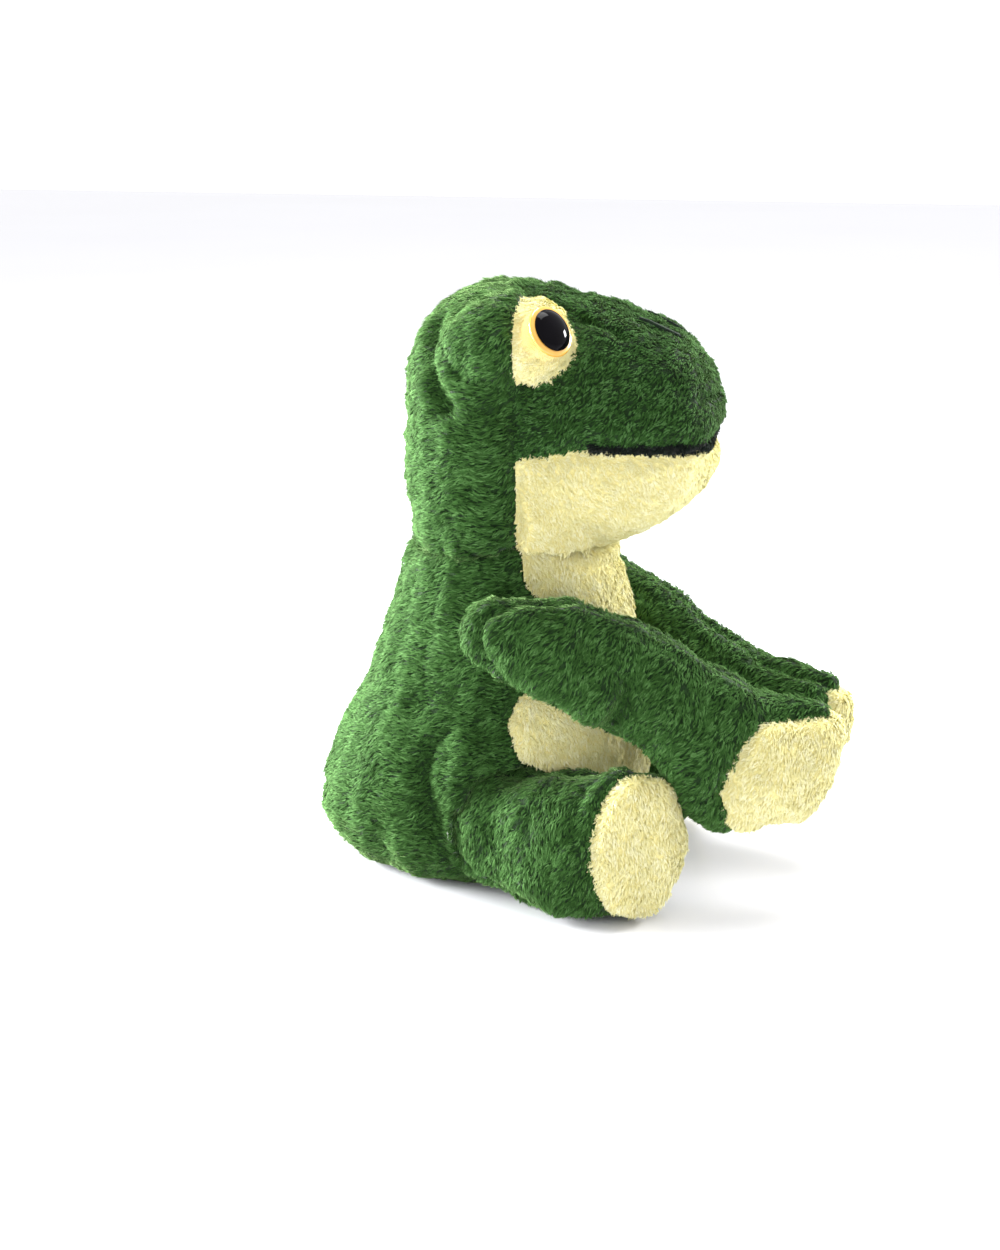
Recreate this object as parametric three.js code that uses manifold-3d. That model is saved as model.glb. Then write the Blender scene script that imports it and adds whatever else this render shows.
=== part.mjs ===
// A seated plush dinosaur: sewn fabric panels over stuffing cores, with plastic safety eyes.
// Millimetres, +Z up. The toy faces -Y and its right side is at -X. It is drawn about its hips and
// moved at the end, so that the origin is under the middle of its box.
import * as THREE from 'three';
import { mergeVertices } from 'three/addons/utils/BufferGeometryUtils.js';
import Module from 'manifold-3d';

const wasm = await Module();
wasm.setup();

// Driving dimensions.
const FABRIC = 2.5; // pile fabric with its backing
const GAP = 0.3; // clearance between neighbouring pieces
const CUT = 1000; // reach of a cutting block, larger than the toy
const MIDDLE_SHIFT = 2.34; // along Y, from the drawing to the middle of the finished box
const COLUMN_SIDES = 20;
const LIMB_SIDES = 14;
const BALL_SIDES = 24;
const OPENING_SIDES = 16;
const HOOD_SEAM_Y = 18; // vertical seam between the hood and the face
const SEAT_SEAM_Z = 9; // seam around the seat panel
const NECK_CENTRE = new THREE.Vector3(0, 27, 92); // centre of the neck's ball-shaped joint
const NECK_RADIUS = 60;
const NECK_CLEARANCE = 1.2;
const NECK_OPENING = 22; // radius of the opening that the skins leave at the neck
const NECK_PLUG_Z = 128; // underside of the stuffing in that opening
const NECK_PLAY = 0.9; // lets the many-sided plug turn in its opening
const NECK_PLUG_LENGTH = 40;
const NECK_SHOULDER_Z = 118; // the torso narrows to the neck's ball above this
const MOUTH_Z = 181.5;
const MOUTH_START_Y = -10; // back end of the mouth yarn
const YARN_HALF = 1.6;
const YARN_PROUD = 1.2;
const EYE_RADIUS = 10;
const EYE_RIM = 1.6; // thickness of the amber disc at its rim
const EYE_CROWN = 2.2; // rise of the amber disc's face
const PUPIL_RADIUS = 8.2;
const PUPIL_HEIGHT = 4.6;
const SHANK_RADIUS = 2.5;
const SHANK_LENGTH = 13;
const WASHER_DEPTH = 6.5; // from the disc's back to the washer
const WASHER_RADIUS = 5;
const WASHER_THICKNESS = 1.5;
const EYE_SIDES = 14;

// Torso: height, front, back, half width, roundness.
const TORSO = [
  [0, 0, 84, 29, 2.2],
  [2.5, -8, 92, 36.5, 2.2],
  [9, -17, 101, 44.5, 2.2],
  [22, -24, 108, 49.5, 2.2],
  [40, -27, 106, 50.5, 2.2],
  [60, -28, 97.5, 49, 2.2],
  [80, -26, 87, 46.5, 2.2],
  [100, -21, 79.5, 44, 2.2],
  [118, -17, 74, 42, 2.2],
  [132, -15, 70.5, 41, 2.2],
  [160, -14, 69, 41, 2.2],
];

// Hood: height, front, back, half width, roundness.
const HOOD = [
  [110, -12, 66, 41, 2.2],
  [135, -13, 67, 42, 2.2],
  [152, -12, 68, 43.5, 2.2],
  [172, -10, 69, 44.5, 2.2],
  [192, -10, 69.5, 44.5, 2.2],
  [206, -9, 68, 43.5, 2.2],
  [218, -7, 64.5, 41, 2.2],
  [227, -3, 58.5, 36.5, 2.2],
  [233.5, 2, 51, 29.5, 2.2],
  [237.5, 9, 41, 19.5, 2.2],
  [239, 17, 31, 8, 2.2],
];

// Snout: distance along Y, top, bottom, half width, roundness.
const SNOUT = [
  [34, 235.5, 145, 39, 2.5],
  [18, 236.5, 140, 40.5, 2.5],
  [0, 235, 136.5, 40.5, 2.5],
  [-14, 231.5, 138, 39.5, 2.5],
  [-27, 227, 145, 37.5, 2.5],
  [-38, 221.5, 152.5, 34.5, 2.5],
  [-46, 213, 160.5, 30.5, 2.5],
  [-51, 203.5, 169, 25, 2.5],
  [-53.2, 196, 177, 15, 2.3],
];

// Seam between the green face and the yellow jaw, along Y and Z.
const MOUTH_SEAM = [[40, 175], [18, 176.5], [1, 179.5], [MOUTH_START_Y, MOUTH_Z], [-80, MOUTH_Z]];

// Edge of the yellow belly panel on the toy's side, along Y and Z.
const BELLY_SEAM = [
  [18, 165],
  [16, 132],
  [13, 122],
  [-3, 113],
  [-5, 102],
  [8, 90],
  [19, 78],
  [18, 62],
  [4, 40],
  [-2, 20],
  [-4, -10],
];

// Arm, in its own frame: along, up, half height, half thickness, offset of its middle from the body.
const ARM = [
  [-17, 5, 2.5, 2.5, 7],
  [-14.5, 5, 7.5, 6, 8],
  [-9, 4.5, 12, 9, 10],
  [0, 3.5, 15.5, 11.5, 12],
  [17, -1.5, 20.5, 14.5, 15],
  [39, -9.8, 21.6, 14.8, 15],
  [61, -22, 20.8, 14.8, 15],
  [82, -39.5, 25.5, 17, 17.5],
  [100, -46.5, 27, 18, 18.8],
  [115, -46, 24.5, 16.5, 19.5],
  [126, -42.5, 18.5, 13, 20],
  [131.5, -39, 11, 8, 20],
  [133.5, -38, 4, 3, 20],
];
const SHOULDER = new THREE.Vector3(-41, 22, 106);
const SHOULDER_NORMAL = new THREE.Vector3(-0.942, -0.325, 0.07).normalize();
const PAW_POINT = new THREE.Vector3(-27, -86, 60);
const PAW_NORMAL = new THREE.Vector3(-0.6, -0.74, -0.3).normalize();
const ARM_SEAM_OFFSET = 17; // the long seams' distance from the body, over the arm's middle
const ARM_ROOT_ROWS = 3; // sections at each end that stand square to the arm's axis
const ARM_TIP_ROW = 9;

// Leg: middle of the section, the way it faces, half width, half height.
const LEG = [
  [[-33, 22, 30], [-0.5, -0.866], 23, 23],
  [[-41.5, 6, 28.3], [-0.53, -0.85], 23, 25],
  [[-49.6, -8, 28.8], [-0.5, -0.866], 22.3, 26.4],
  [[-53.4, -20, 29.7], [-0.58, -0.81], 21.6, 28],
  [[-54.2, -28, 30.9], [-0.68, -0.73], 21.8, 30],
  [[-55, -34, 31.3], [-0.74, -0.67], 21.5, 30],
  [[-57.6, -36.5, 31.3], [-0.74, -0.67], 19, 27.5],
  [[-59.2, -38, 31.3], [-0.74, -0.67], 13, 20],
  [[-59.9, -38.6, 31.3], [-0.74, -0.67], 5, 9],
];
const LEG_TOE = 6; // the first section of the rounded toe end
const HIP = new THREE.Vector3(-33, 22, 30); // centre of the thigh's ball-shaped root
const HIP_RADIUS = 24.5;
const HIP_CLEARANCE = 1.6;
const HIP_SWING = 16; // degrees that the leg swings outward
const SOLE_POINT = new THREE.Vector3(-55, -34, 33);
const SOLE_NORMAL = new THREE.Vector3(-0.74, -0.67, 0).normalize();
const LEG_SEAM = new THREE.Vector3(-50, 0, 30);
const LEG_SEAM_NORMAL = new THREE.Vector3(-0.97, 0.16, 0.18).normalize();

// Eye mounds: a bulge with a short front half under the eye patch and a long back half.
const MOUND_CENTRE = new THREE.Vector3(-29.5, HOOD_SEAM_Y, 219.5);
const MOUND_FRONT = new THREE.Vector3(20.5, 22, 18);
const MOUND_BACK = new THREE.Vector3(20.5, 30, 19.8);
const EYE_POINT = new THREE.Vector3(-44, 4.9, 226);
const EYE_NORMAL = new THREE.Vector3(-0.575, -0.735, 0.36).normalize();

// Thread that draws the snout in over each nostril, from above the nose's seam.
const NOSTRIL = [[-10.4, -23, 222], [-9, -31, 222], [-7.4, -38.5, 222]];
const THREAD_HALF = 0.9;
const THREAD_DEPTH = 1;
const THREAD_REACH = 14; // height of the cutter that picks the thread out of the surface

const GREEN = 0x3f7f34;
const DEEP_GREEN = 0x356f2c;
const YELLOW = 0xefe9a6;
const FIBRE_WHITE = 0xf1f0ea;
const YARN_BLACK = 0x1f241c;
const THREAD_GREEN = 0x16331a;
const AMBER = 0xe3a72f;
const PUPIL_BLACK = 0x080808;
const NYLON_WHITE = 0xe8e8e4;
const BAG_CLOTH = 0xd9d5c8;

const dinosaur = new THREE.Group();

function addPiece(name, solid, color, roughness = 0.95, metalness = 0) {
  const material = new THREE.MeshStandardMaterial({ color, roughness, metalness });
  const geometry = geometryOf(solid).translate(0, MIDDLE_SHIFT, 0);
  const mesh = new THREE.Mesh(geometry, material);
  mesh.name = name;
  dinosaur.add(mesh);
}

// Solids from and to three.js geometry.
function solidOf(geometry) {
  geometry.deleteAttribute('normal');
  geometry.deleteAttribute('uv');
  const merged = mergeVertices(geometry, 1e-4);
  const mesh = new wasm.Mesh({
    numProp: 3,
    vertProperties: new Float32Array(merged.attributes.position.array),
    triVerts: new Uint32Array(merged.index.array),
  });
  return new wasm.Manifold(mesh);
}

function geometryOf(solid) {
  const mesh = solid.getMesh();
  const geometry = new THREE.BufferGeometry();
  geometry.setAttribute('position', new THREE.BufferAttribute(mesh.vertProperties, 3));
  geometry.setIndex(new THREE.BufferAttribute(mesh.triVerts, 1));
  geometry.computeVertexNormals();
  return geometry;
}

function largestPiece(solid) {
  const pieces = solid.decompose();
  pieces.sort((a, b) => b.volume() - a.volume());
  return pieces[0];
}

// How many sides a section has: the hidden inner faces are coarser.
function sides(inset, count) {
  return inset > 1 ? (count * 2) / 3 - ((count * 2) / 3) % 2 : count;
}

// One closed ring of points: a rounded rectangle between an ellipse (2) and a box (large).
function ring(centre, across, up, halfAcross, halfUp, roundness, count) {
  const points = [];
  const power = 2 / roundness;
  for (let i = 0; i < count; i++) {
    const angle = (2 * Math.PI * i) / count;
    const c = Math.cos(angle);
    const s = Math.sin(angle);
    const x = Math.sign(c) * Math.abs(c) ** power * halfAcross;
    const y = Math.sign(s) * Math.abs(s) ** power * halfUp;
    points.push(centre.clone().addScaledVector(across, x).addScaledVector(up, y));
  }
  return points;
}

// A closed skin over a row of rings, with a fan of triangles over each end.
function loft(rings) {
  const count = rings[0].length;
  const positions = rings.flat();
  const index = [];
  for (let r = 0; r + 1 < rings.length; r++) {
    for (let i = 0; i < count; i++) {
      const a = r * count + i;
      const b = r * count + ((i + 1) % count);
      index.push(a, b, b + count, a, b + count, a + count);
    }
  }
  const ends = [rings[0], rings[rings.length - 1]];
  const starts = [0, (rings.length - 1) * count];
  for (let end = 0; end < 2; end++) {
    const middle = new THREE.Vector3();
    ends[end].forEach((point) => middle.addScaledVector(point, 1 / count));
    const tip = positions.push(middle) - 1;
    for (let i = 0; i < count; i++) {
      const a = starts[end] + i;
      const b = starts[end] + ((i + 1) % count);
      if (end === 0) index.push(tip, b, a);
      else index.push(tip, a, b);
    }
  }
  const geometry = new THREE.BufferGeometry().setFromPoints(positions);
  geometry.setIndex(index);
  return solidOf(geometry);
}

const X_AXIS = new THREE.Vector3(1, 0, 0);
const Y_AXIS = new THREE.Vector3(0, 1, 0);
const Z_AXIS = new THREE.Vector3(0, 0, 1);

// An upright body from rows of height, front, back, half width and roundness.
function column(rows, inset, count) {
  const low = rows[0][0] + inset;
  const high = rows[rows.length - 1][0] - inset;
  return loft(rows.map(([z, front, back, half, roundness]) => {
    const centre = new THREE.Vector3(0, (front + back) / 2, THREE.MathUtils.clamp(z, low, high));
    const depth = Math.max((back - front) / 2 - inset, 1);
    return ring(centre, X_AXIS, Y_AXIS, Math.max(half - inset, 1), depth, roundness, count);
  }));
}

// The snout, from rows of distance along Y, top, bottom, half width and roundness.
function snoutBody(inset) {
  const tip = SNOUT[SNOUT.length - 1][0] + inset;
  return loft(SNOUT.map(([y, top, bottom, half, roundness]) => {
    const centre = new THREE.Vector3(0, Math.max(y, tip), (top + bottom) / 2);
    const tall = (top - bottom) / 2 - inset;
    return ring(centre, X_AXIS, Z_AXIS, half - inset, tall, roundness, sides(inset, COLUMN_SIDES));
  }));
}

function ball(centre, radius, segments) {
  const geometry = new THREE.SphereGeometry(radius, segments, segments / 2);
  geometry.rotateX(Math.PI / 2);
  geometry.translate(centre.x, centre.y, centre.z);
  return solidOf(geometry);
}

function ellipsoid(centre, radii, grow) {
  const geometry = new THREE.SphereGeometry(1, 14, 8);
  geometry.rotateX(Math.PI / 2);
  geometry.scale(radii.x + grow, radii.y + grow, radii.z + grow);
  geometry.translate(centre.x, centre.y, centre.z);
  return solidOf(geometry);
}

function box(low, high) {
  const size = new THREE.Vector3().subVectors(high, low);
  const geometry = new THREE.BoxGeometry(size.x, size.y, size.z);
  geometry.translate((low.x + high.x) / 2, (low.y + high.y) / 2, (low.z + high.z) / 2);
  return solidOf(geometry);
}

// Everything on the far side of a plane, as a large block.
function halfSpace(point, normal) {
  const geometry = new THREE.BoxGeometry(CUT, CUT, CUT);
  geometry.translate(0, 0, CUT / 2);
  geometry.applyQuaternion(new THREE.Quaternion().setFromUnitVectors(Z_AXIS, normal));
  geometry.translate(point.x, point.y, point.z);
  return solidOf(geometry);
}

// The same seen from a point moved along the plane's normal.
function halfSpaceAt(point, normal, shift) {
  return halfSpace(point.clone().addScaledVector(normal, shift), normal);
}

// A prism through the whole toy along X, from an outline of Y and Z points.
function prism(points) {
  const shape = new THREE.Shape(points.map(([y, z]) => new THREE.Vector2(y, z)));
  const geometry = new THREE.ExtrudeGeometry(shape, { depth: CUT, bevelEnabled: false });
  geometry.translate(0, 0, -CUT / 2);
  const turn = new THREE.Matrix4().makeBasis(Y_AXIS, Z_AXIS, X_AXIS);
  geometry.applyMatrix4(turn);
  return solidOf(geometry);
}

function mirrored(solid) {
  return solid.mirror([1, 0, 0]);
}

// A point list moved sideways by a distance, for the two sides of a seam.
function shifted(points, dy, dz) {
  return points.map(([y, z]) => [y + dy, z + dz]);
}

// The eye, built along +Z with its back at zero, then set on the head.
function placeOnEye(geometry) {
  geometry.applyQuaternion(new THREE.Quaternion().setFromUnitVectors(Z_AXIS, EYE_NORMAL));
  geometry.translate(EYE_POINT.x, EYE_POINT.y, EYE_POINT.z);
  return solidOf(geometry);
}

function turned(profile, segments) {
  const geometry = new THREE.LatheGeometry(profile.map(([r, z]) => new THREE.Vector2(r, z)), segments);
  geometry.rotateX(Math.PI / 2);
  return geometry;
}

function crownProfile(radius, from, height, steps) {
  const profile = [];
  for (let i = 0; i <= steps; i++) {
    const angle = (Math.PI / 2) * (i / steps);
    profile.push([radius * Math.cos(angle), from + height * Math.sin(angle)]);
  }
  profile[steps][0] = 0;
  return profile;
}

function eyeDisc() {
  const profile = [[0, -SHANK_LENGTH], [SHANK_RADIUS, -SHANK_LENGTH], [SHANK_RADIUS, 0], [EYE_RADIUS, 0]];
  return placeOnEye(turned(profile.concat(crownProfile(EYE_RADIUS, EYE_RIM, EYE_CROWN, 3)), EYE_SIDES));
}

function eyePupil(grow) {
  const crown = crownProfile(PUPIL_RADIUS + grow, 0.01 - grow, PUPIL_HEIGHT + 2 * grow, 4);
  const geometry = turned([[0, -grow]].concat(crown), EYE_SIDES);
  geometry.translate(0, 0, EYE_RIM);
  return placeOnEye(geometry);
}

function eyeWasher() {
  const inner = SHANK_RADIUS + GAP;
  const low = -WASHER_DEPTH - WASHER_THICKNESS;
  const profile = [[inner, low], [WASHER_RADIUS, low], [WASHER_RADIUS, -WASHER_DEPTH], [inner, -WASHER_DEPTH],
    [inner, low]];
  return placeOnEye(turned(profile, 12));
}

// The dimple that the disc presses into the head.
function eyeSeat(grow) {
  const radius = EYE_RADIUS + grow;
  return placeOnEye(turned([[0, -grow], [radius, -grow], [radius, 30], [0, 30]], EYE_SIDES));
}

function eyeShankSpace() {
  const radius = SHANK_RADIUS + GAP;
  const low = -SHANK_LENGTH - GAP;
  return placeOnEye(turned([[0, low], [radius, low], [radius, 5], [0, 5]], 8));
}

function eyeWasherSpace() {
  const radius = WASHER_RADIUS + GAP;
  const low = -WASHER_DEPTH - WASHER_THICKNESS - GAP;
  const high = GAP - WASHER_DEPTH;
  return placeOnEye(turned([[0, low], [radius, low], [radius, high], [0, high]], 12));
}

// The head's outer form, drawn in by an inset.
function headForm(inset) {
  const front = ellipsoid(MOUND_CENTRE, MOUND_FRONT, -inset)
    .subtract(halfSpace(MOUND_CENTRE, Y_AXIS));
  const back = ellipsoid(MOUND_CENTRE, MOUND_BACK, -inset)
    .intersect(halfSpaceAt(MOUND_CENTRE, Y_AXIS, -0.01));
  const mound = front.add(back);
  const seat = eyeSeat(GAP + inset);
  return column(HOOD, inset, sides(inset, COLUMN_SIDES))
    .add(snoutBody(inset))
    .add(mound)
    .add(mirrored(mound))
    .subtract(ball(NECK_CENTRE, NECK_RADIUS + NECK_CLEARANCE + inset, BALL_SIDES))
    .subtract(seat)
    .subtract(mirrored(seat));
}

function neckOpening() {
  const geometry = new THREE.CylinderGeometry(NECK_OPENING, NECK_OPENING, NECK_RADIUS, OPENING_SIDES);
  geometry.rotateX(Math.PI / 2);
  geometry.translate(0, NECK_CENTRE.y, NECK_CENTRE.z + NECK_RADIUS);
  return solidOf(geometry);
}

function mouthBand(half, startY) {
  const low = new THREE.Vector3(-CUT, -CUT, MOUTH_Z - half);
  return box(low, new THREE.Vector3(CUT, startY, MOUTH_Z + half));
}

function buildHead() {
  const shank = eyeShankSpace();
  const skin = headForm(0).subtract(headForm(FABRIC)).subtract(neckOpening())
    .subtract(shank).subtract(mirrored(shank));
  const behindSeam = halfSpaceAt(new THREE.Vector3(0, HOOD_SEAM_Y, 0), Y_AXIS, GAP / 2);
  const ahead = halfSpaceAt(new THREE.Vector3(0, HOOD_SEAM_Y, 0), Y_AXIS.clone().negate(), GAP / 2);
  const rightSide = halfSpaceAt(new THREE.Vector3(), X_AXIS.clone().negate(), GAP / 2);

  const backBulge = ellipsoid(MOUND_CENTRE, MOUND_BACK, GAP);
  const backGap = ellipsoid(MOUND_CENTRE, MOUND_BACK, 2 * GAP);
  const frontBulge = ellipsoid(MOUND_CENTRE, MOUND_FRONT, GAP);
  const frontGap = ellipsoid(MOUND_CENTRE, MOUND_FRONT, 2 * GAP);

  const behind = skin.intersect(behindSeam);
  const hood = largestPiece(behind.intersect(rightSide).subtract(backGap));
  addPiece('hood_right', hood, GREEN);
  addPiece('hood_left', mirrored(hood), GREEN);
  const mound = largestPiece(behind.intersect(backBulge));
  addPiece('eye_mound_right', mound, GREEN);
  addPiece('eye_mound_left', mirrored(mound), GREEN);
  const face = skin.intersect(ahead);
  const patch = largestPiece(face.intersect(frontBulge));
  addPiece('eye_patch_right', patch, YELLOW);
  addPiece('eye_patch_left', mirrored(patch), YELLOW);

  const above = shifted(MOUTH_SEAM, 0, GAP / 2).concat([[-80, 300], [40, 300]]);
  const below = shifted(MOUTH_SEAM, 0, -GAP / 2).concat([[-80, 60], [40, 60]]);
  const yarnSpace = mouthBand(YARN_HALF + GAP, MOUTH_START_Y + GAP);
  const snout = face.intersect(prism(above))
    .subtract(frontGap)
    .subtract(mirrored(frontGap))
    .subtract(yarnSpace);
  addPiece('snout_panel', largestPiece(snout), DEEP_GREEN);
  addPiece('jaw_panel', largestPiece(face.intersect(prism(below)).subtract(yarnSpace)), YELLOW);
  const yarn = snoutBody(-YARN_PROUD)
    .subtract(snoutBody(FABRIC))
    .intersect(mouthBand(YARN_HALF, MOUTH_START_Y));
  addPiece('mouth_yarn', largestPiece(yarn), YARN_BLACK);

  addPiece('eye_iris_right', eyeDisc().subtract(eyePupil(GAP)), AMBER, 0.15);
  addPiece('eye_iris_left', mirrored(eyeDisc().subtract(eyePupil(GAP))), AMBER, 0.15);
  addPiece('eye_pupil_right', eyePupil(0), PUPIL_BLACK, 0.05);
  addPiece('eye_pupil_left', mirrored(eyePupil(0)), PUPIL_BLACK, 0.05);
  addPiece('eye_washer_right', eyeWasher(), NYLON_WHITE, 0.5);
  addPiece('eye_washer_left', mirrored(eyeWasher()), NYLON_WHITE, 0.5);

  const washer = eyeWasherSpace();
  const stuffing = headForm(FABRIC + GAP)
    .subtract(shank).subtract(mirrored(shank))
    .subtract(washer).subtract(mirrored(washer));
  addPiece('head_stuffing', largestPiece(stuffing), FIBRE_WHITE);
}

// The nostril's thread, lying on the fabric.
function nostrilStitch() {
  const curve = new THREE.CatmullRomCurve3(NOSTRIL.map((point) => new THREE.Vector3(...point)));
  const section = new THREE.Shape().absellipse(0, 0, THREAD_REACH, THREAD_HALF, 0, 2 * Math.PI);
  const geometry = new THREE.ExtrudeGeometry(section, { steps: 3, extrudePath: curve, curveSegments: 2 });
  const over = snoutBody(-GAP - THREAD_DEPTH).subtract(snoutBody(-GAP));
  const upper = halfSpace(new THREE.Vector3(0, 0, MOUTH_Z), Z_AXIS);
  return largestPiece(solidOf(geometry).intersect(over).intersect(upper));
}

// Room for the thigh's root as the leg swings outward.
function hipSocket(grow) {
  let space = ball(HIP, HIP_RADIUS + grow, LIMB_SIDES);
  for (const degrees of [0, HIP_SWING]) {
    const there = new THREE.Matrix4().makeTranslation(HIP);
    const turn = new THREE.Matrix4().makeRotationZ(THREE.MathUtils.degToRad(-degrees));
    const back = new THREE.Matrix4().makeTranslation(HIP.clone().negate());
    const swing = there.multiply(turn).multiply(back);
    space = space.add(legLoft(LEG.slice(0, 4), -grow, 12).transform(swing.toArray()));
  }
  return space;
}

// The torso's outer form, drawn in by an inset.
function torsoForm(inset) {
  const neck = ball(NECK_CENTRE, NECK_RADIUS - inset, BALL_SIDES);
  const under = box(new THREE.Vector3(-CUT, -CUT, -CUT), new THREE.Vector3(CUT, CUT, NECK_SHOULDER_Z));
  let form = column(TORSO, inset, sides(inset, COLUMN_SIDES)).intersect(neck.add(under));
  const shoulder = halfSpaceAt(SHOULDER, SHOULDER_NORMAL, -inset);
  const hip = hipSocket(HIP_CLEARANCE + inset);
  for (const cut of [shoulder, hip]) form = form.subtract(cut).subtract(mirrored(cut));
  return form;
}

// The bag of plastic pellets that weights the seat; grown, it is the space left for it in the stuffing.
function beanBag(grow) {
  const floor = grow > 0 ? -grow : FABRIC + GAP;
  const rows = [
    [floor, 53 - grow, 84 + grow, 22 + grow, 2.2],
    [8, 50 - grow, 92 + grow, 30 + grow, 2.2],
    [18, 50 - grow, 94 + grow, 31 + grow, 2.2],
    [26 + grow, 56 - grow, 86 + grow, 21 + grow, 2.2],
  ];
  return column(rows, 0, LIMB_SIDES);
}

// The stuffing that fills the torso's neck opening and carries the head.
function neckStuffing(radius, grow) {
  const geometry = new THREE.CylinderGeometry(radius, radius, NECK_PLUG_LENGTH, OPENING_SIDES);
  geometry.rotateX(Math.PI / 2);
  geometry.translate(0, NECK_CENTRE.y, NECK_PLUG_Z + NECK_PLUG_LENGTH / 2 - grow);
  return solidOf(geometry);
}

function buildTorso() {
  const skin = torsoForm(0).subtract(torsoForm(FABRIC)).subtract(neckOpening());
  const seatPlane = new THREE.Vector3(0, 0, SEAT_SEAM_Z);
  const seat = skin.subtract(halfSpaceAt(seatPlane, Z_AXIS, -GAP / 2));
  const upper = skin.intersect(halfSpaceAt(seatPlane, Z_AXIS, GAP / 2));
  const spline = new THREE.SplineCurve(BELLY_SEAM.map(([y, z]) => new THREE.Vector2(y, z)));
  const edge = spline.getPoints(14).map((point) => [point.x, point.y]);
  const front = prism(shifted(edge, -GAP / 2, 0).concat([[-90, -10], [-90, 165]]));
  const behind = prism(shifted(edge, GAP / 2, 0).concat([[160, -10], [160, 165]]));
  const rightSide = halfSpaceAt(new THREE.Vector3(), X_AXIS.clone().negate(), GAP / 2);
  const side = largestPiece(upper.intersect(behind).intersect(rightSide));
  addPiece('body_side_right', side, GREEN);
  addPiece('body_side_left', mirrored(side), GREEN);
  addPiece('belly_panel', largestPiece(upper.intersect(front)), YELLOW);
  addPiece('seat_panel', largestPiece(seat), GREEN);
  addPiece('bean_bag', beanBag(0), BAG_CLOTH);
  const stuffing = torsoForm(FABRIC + GAP).subtract(beanBag(GAP)).subtract(neckStuffing(NECK_OPENING, GAP));
  addPiece('body_stuffing', largestPiece(stuffing), FIBRE_WHITE);
  const plug = neckStuffing(NECK_OPENING - NECK_PLAY, 0)
    .intersect(ball(NECK_CENTRE, NECK_RADIUS, BALL_SIDES));
  addPiece('neck_stuffing', plug, FIBRE_WHITE);
}

// Arm frame: along the arm, up and away from the body.
const ARM_ALONG = new THREE.Vector3().crossVectors(Z_AXIS, SHOULDER_NORMAL).normalize();
const ARM_UP = new THREE.Vector3().crossVectors(SHOULDER_NORMAL, ARM_ALONG).normalize();

function armPoint(along, up, out) {
  return SHOULDER.clone()
    .addScaledVector(ARM_ALONG, along)
    .addScaledVector(ARM_UP, up)
    .addScaledVector(SHOULDER_NORMAL, out);
}

function armForm(inset) {
  const middles = ARM.map(([along, up]) => new THREE.Vector2(along, up));
  const first = middles[0].x + inset;
  const last = middles[middles.length - 1].x - inset;
  return loft(ARM.map(([along, up, tall, thick, out], i) => {
    const before = middles[Math.max(i - 1, 0)];
    const after = middles[Math.min(i + 1, ARM.length - 1)];
    const slope = new THREE.Vector2().subVectors(after, before).normalize();
    const steep = i < ARM_ROOT_ROWS || i > ARM_TIP_ROW ? new THREE.Vector2(1, 0) : slope;
    const upward = new THREE.Vector3()
      .addScaledVector(ARM_ALONG, -steep.y)
      .addScaledVector(ARM_UP, steep.x);
    const centre = armPoint(THREE.MathUtils.clamp(along, first, last), up, out + GAP);
    const half = Math.max(tall - inset, 0.8);
    const thin = Math.max(thick - inset, 0.6);
    return ring(centre, upward, SHOULDER_NORMAL, half, thin, 2.2, sides(inset, LIMB_SIDES));
  }));
}

function buildArm() {
  const skin = armForm(0).subtract(armForm(FABRIC));
  const pad = skin.intersect(halfSpaceAt(PAW_POINT, PAW_NORMAL, GAP / 2));
  const sleeve = skin.intersect(halfSpaceAt(PAW_POINT, PAW_NORMAL.clone().negate(), GAP / 2));
  const middle = SHOULDER.clone().addScaledVector(SHOULDER_NORMAL, ARM_SEAM_OFFSET);
  const away = halfSpaceAt(middle, SHOULDER_NORMAL, GAP / 2);
  const near = halfSpaceAt(middle, SHOULDER_NORMAL.clone().negate(), GAP / 2);
  return {
    outer: largestPiece(sleeve.intersect(away)),
    inner: largestPiece(sleeve.intersect(near)),
    pad: largestPiece(pad),
    stuffing: largestPiece(armForm(FABRIC + GAP)),
  };
}

function legLoft(rows, inset, count) {
  return loft(rows.map(([middle, facing, wide, tall], i) => {
    const forward = new THREE.Vector3(facing[0], facing[1], 0).normalize();
    const across = new THREE.Vector3().crossVectors(Z_AXIS, forward).normalize();
    const centre = new THREE.Vector3(...middle);
    if (i >= LEG_TOE) centre.addScaledVector(forward, -inset);
    const half = Math.max(wide - inset, 1);
    const roundness = i === 0 ? 2 : 2.2;
    return ring(centre, across, Z_AXIS, half, Math.max(tall - inset, 1.5), roundness, count);
  }));
}

function legForm(inset) {
  return legLoft(LEG, inset, sides(inset, LIMB_SIDES)).add(ball(HIP, HIP_RADIUS - inset, LIMB_SIDES));
}

function buildLeg() {
  const skin = legForm(0).subtract(legForm(FABRIC));
  const pad = skin.intersect(halfSpaceAt(SOLE_POINT, SOLE_NORMAL, GAP / 2));
  const sleeve = skin.intersect(halfSpaceAt(SOLE_POINT, SOLE_NORMAL.clone().negate(), GAP / 2));
  return {
    outer: largestPiece(sleeve.intersect(halfSpaceAt(LEG_SEAM, LEG_SEAM_NORMAL, GAP / 2))),
    inner: largestPiece(sleeve.intersect(halfSpaceAt(LEG_SEAM, LEG_SEAM_NORMAL.clone().negate(), GAP / 2))),
    pad: largestPiece(pad),
    stuffing: largestPiece(legForm(FABRIC + GAP)),
  };
}

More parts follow.
